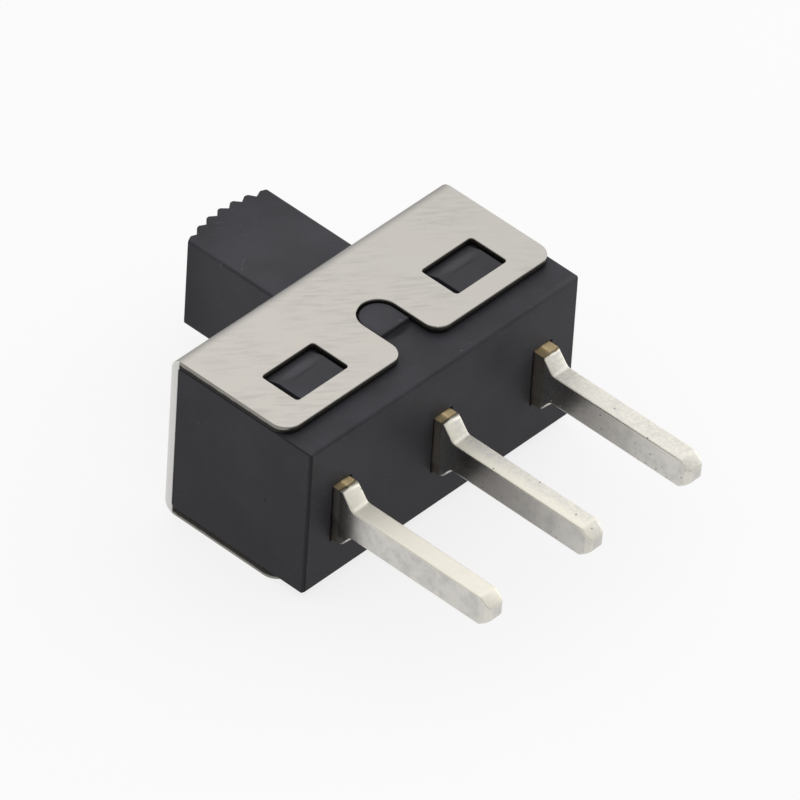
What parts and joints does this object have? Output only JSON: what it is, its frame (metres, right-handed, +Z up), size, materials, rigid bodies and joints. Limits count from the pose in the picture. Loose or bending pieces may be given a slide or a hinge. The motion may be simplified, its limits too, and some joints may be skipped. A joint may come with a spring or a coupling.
{
  "type": "slide switch",
  "caption": "Miniature slide switch: moulded body in a folded metal cover, ribbed sliding knob at the front and flat solder terminals in a row at the back.",
  "frame": {"origin": "centre of the seating face, where the middle terminal leaves the body", "axes": "+X along the slide and the row of terminals, +Y out through the knob, -Y along the terminals, +Z up out of one side flange of the cover"},
  "size_m": [0.0126, 0.0183, 0.0066],
  "materials": {
    "black_moulding": "dry moulded black",
    "black_actuator": "dry moulded black, a few fine scratches",
    "nickel_sheet": "satin nickel plate with faint rolling marks",
    "tinned_brass": "bright tin plate over brass, bare brass at the root",
    "contact_metal": "plain",
    "spring_steel": "plain"
  },
  "bodies": {
    "case": {"housing": "black_moulding", "cover": "nickel_sheet", "terminal_left": "tinned_brass", "terminal_centre": "tinned_brass", "terminal_right": "tinned_brass"},
    "slider": {"actuator": "black_actuator", "contact_bridge": "contact_metal", "contact_spring": "spring_steel", "detent_spring": "spring_steel", "detent_ball_upper": "spring_steel", "detent_ball_lower": "spring_steel"}
  },
  "joints": [
    {"name": "knob_slide", "type": "slide", "parent": "case", "child": "slider", "axis": [1, 0, 0], "range_m": [-0.0026, 0]}
  ]
}
